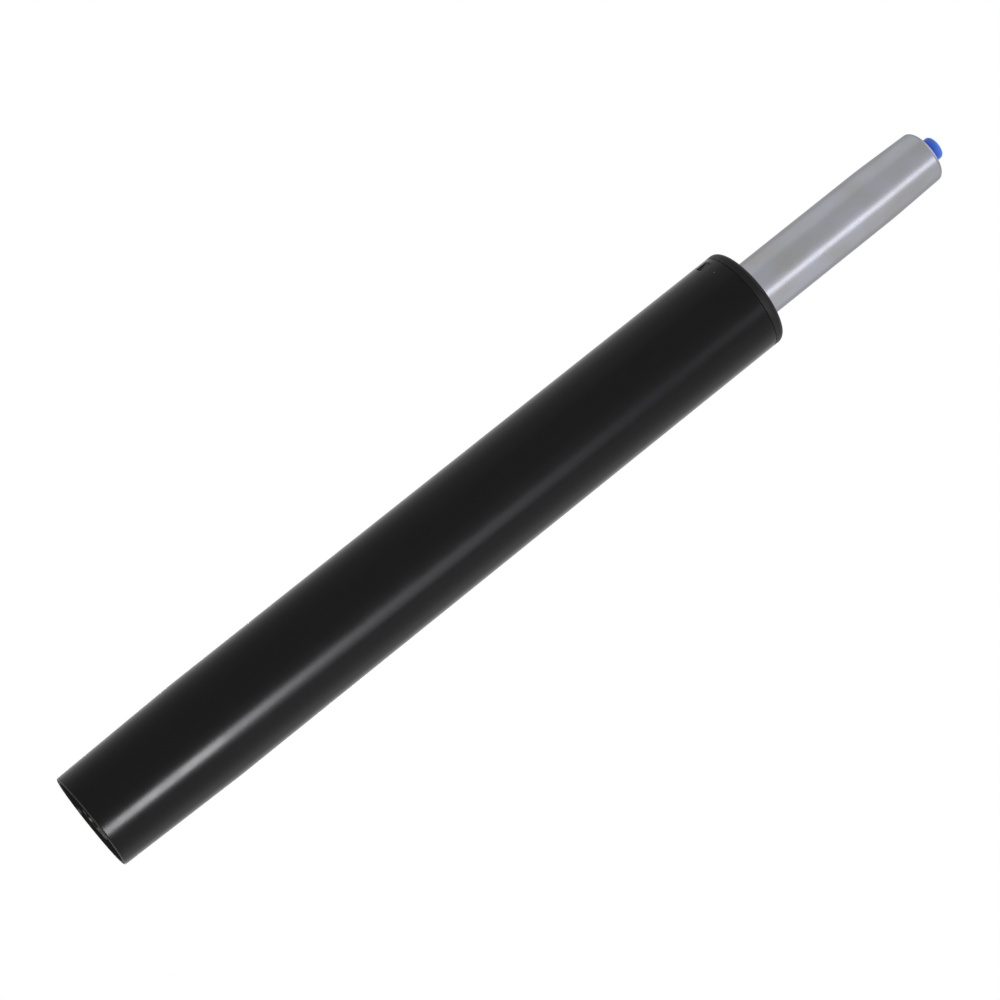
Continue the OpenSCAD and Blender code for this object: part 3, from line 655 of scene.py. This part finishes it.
pale = bpy.data.materials.new("pale_floor")
pale.use_nodes = True
pale.node_tree.nodes.remove(pale.node_tree.nodes["Principled BSDF"])
pale.node_tree.nodes.new("ShaderNodeTexCoord").name = "place"
floor_nodes = pale.node_tree.nodes
floor_links = pale.node_tree.links
away = floor_nodes.new("ShaderNodeVectorMath")
away.operation = "LENGTH"
floor_links.new(floor_nodes["place"].outputs["Object"], away.inputs[0])
whiter = ranged(pale, away.outputs["Value"], floor_glow, 1.0, start=floor_pale_r, end=floor_white_r)
darker = ranged(pale, away.outputs["Value"], floor_grey, 0.0, start=floor_pale_r, end=floor_white_r)
shine = floor_nodes.new("ShaderNodeEmission")
floor_links.new(both(pale, whiter, seen_rays(pale.node_tree)), shine.inputs["Strength"])
matt = floor_nodes.new("ShaderNodeBsdfDiffuse")
floor_links.new(darker, matt.inputs["Color"])
above = floor_nodes.new("ShaderNodeAddShader")
floor_links.new(matt.outputs["BSDF"], above.inputs[0])
floor_links.new(shine.outputs["Emission"], above.inputs[1])
beneath = floor_nodes.new("ShaderNodeBsdfTransparent")
facing = floor_nodes.new("ShaderNodeNewGeometry")
one_sided = floor_nodes.new("ShaderNodeMixShader")
floor_links.new(facing.outputs["Backfacing"], one_sided.inputs["Fac"])
floor_links.new(above.outputs["Shader"], one_sided.inputs[1])
floor_links.new(beneath.outputs["BSDF"], one_sided.inputs[2])
floor_links.new(one_sided.outputs["Shader"], floor_nodes["Material Output"].inputs["Surface"])
floor.data.materials.append(pale)

# White surround: an even soft light from all round.
# The camera and reflections see it as white, and it lights the lift at a part of that strength.
ambient = 0.65
world = bpy.data.worlds.new("white_surround")
world.use_nodes = True
bpy.context.scene.world = world
background = world.node_tree.nodes["Background"]
background.inputs["Color"].default_value = (1, 1, 1, 1)
strength = world.node_tree.nodes.new("ShaderNodeMath")
strength.operation = "MULTIPLY_ADD"
strength.inputs[1].default_value = 1 - ambient
strength.inputs[2].default_value = ambient
world.node_tree.links.new(seen_rays(world.node_tree), strength.inputs[0])
world.node_tree.links.new(strength.outputs["Value"], background.inputs["Strength"])

# Lamps: soft boxes on the right for the long highlights of both tubes, with a wide dim one round each,
# broad fills further round on both sides, two lamps behind and a soft top light.
# Some are flagged off the pieces that they aren't meant for, and off the floor.
near_turn = math.radians(-112)


def softbox(name, round_right, low, high, width, far, radiance, colour):
    """A soft box that faces the lift's axis, from one height to another, that far round to the right."""
    turn = near_turn + math.radians(round_right)
    lamp = bpy.data.lights.new(name, "AREA")
    lamp.shape = "RECTANGLE"
    lamp.size = width
    lamp.size_y = high - low
    lamp.energy = math.pi * width * (high - low) * radiance
    lamp.color = colour
    box = bpy.data.objects.new(name, lamp)
    outward = around(turn, 1, 0)
    box.location = outward * far + Vector((0, 0, (low + high) / 2))
    box.rotation_mode = "QUATERNION"
    box.rotation_quaternion = (-outward).to_track_quat("-Z", "Y")
    box.visible_camera = False
    bpy.context.scene.collection.objects.link(box)
    return box


def keep_off(box, *pieces):
    """Flag a soft box, so that its light doesn't fall on those pieces."""
    shaded = bpy.data.collections.new("shaded_from_" + box.name)
    for piece in pieces:
        shaded.objects.link(piece)
    for held in shaded.collection_objects:
        held.light_linking.link_state = "EXCLUDE"
    box.light_linking.receiver_collection = shaded


cool_white = (0.9, 0.91, 1.0)
plain_white = (1, 1, 1)
key = softbox("key", 36.5, -0.03, 0.227, 0.4, 1.5, 68, (0.97, 0.965, 1.0))
keep_off(key, pressure_tube, button, floor)
softbox("strip", 43, 0.222, 0.632, 0.56, 1.5, 4.1, cool_white)
softbox("glow", 40, 0.0, 0.75, 2.2, 1.55, 0.25, cool_white)
softbox("head", 39, 0.836, 1.51, 0.44, 1.5, 2.42, cool_white)
neck = softbox("neck", 39, 0.611, 0.836, 0.44, 1.5, 2.0, cool_white)
keep_off(neck, stand_tube, bush, floor)
softbox("halo", 43, 0.82, 1.5, 1.7, 1.55, 0.17, cool_white)
softbox("fill", 95, 0.02, 1.3, 1.8, 1.6, 0.28, plain_white)
softbox("low_fill", 90, 0.02, 0.75, 1.8, 1.65, 0.2, plain_white)
softbox("left_fill", -88, 0.55, 1.5, 2.0, 1.6, 0.22, plain_white)
back_strip = softbox("back_strip", 180, 0.1, 1.1, 0.3, 1.5, 3.0, plain_white)
keep_off(back_strip, floor)
back_low = softbox("back_low", 180, 0.02, 0.22, 0.12, 0.55, 14.0, plain_white)
keep_off(back_low, pressure_tube, button, floor)
top_width = 1.2
top_height = 1.9
top_watts = 3.0
top_lamp = bpy.data.lights.new("top", "AREA")
top_lamp.shape = "DISK"
top_lamp.size = top_width
top_lamp.energy = top_watts
top_box = bpy.data.objects.new("top", top_lamp)
top_box.location = (0, 0, top_height)
top_box.visible_camera = False
bpy.context.scene.collection.objects.link(top_box)

# Camera: a long lens in front of the lift, a little below its mouth and aimed near its middle.
# It is tipped about its own axis, so that the standing lift lies slanting across the frame.
camera_rise = math.radians(-12.814)
camera_roll = math.radians(-51.33)
camera_far = 1.4163
camera_aim = Vector((0.00283, 0.002, 0.23056))
camera_lens = 114.0
camera_sensor = 36
to_camera = around(near_turn, math.cos(camera_rise), math.sin(camera_rise))
lens = bpy.data.cameras.new("camera")
lens.lens = camera_lens
lens.sensor_width = camera_sensor
camera = bpy.data.objects.new("camera", lens)
camera.location = camera_aim + to_camera * camera_far
camera.rotation_mode = "QUATERNION"
camera.rotation_quaternion = (-to_camera).to_track_quat("-Z", "Y") @ Quaternion((0, 0, 1), -camera_roll)
bpy.context.scene.collection.objects.link(camera)
bpy.context.scene.camera = camera
bpy.context.scene.view_settings.view_transform = "Standard"
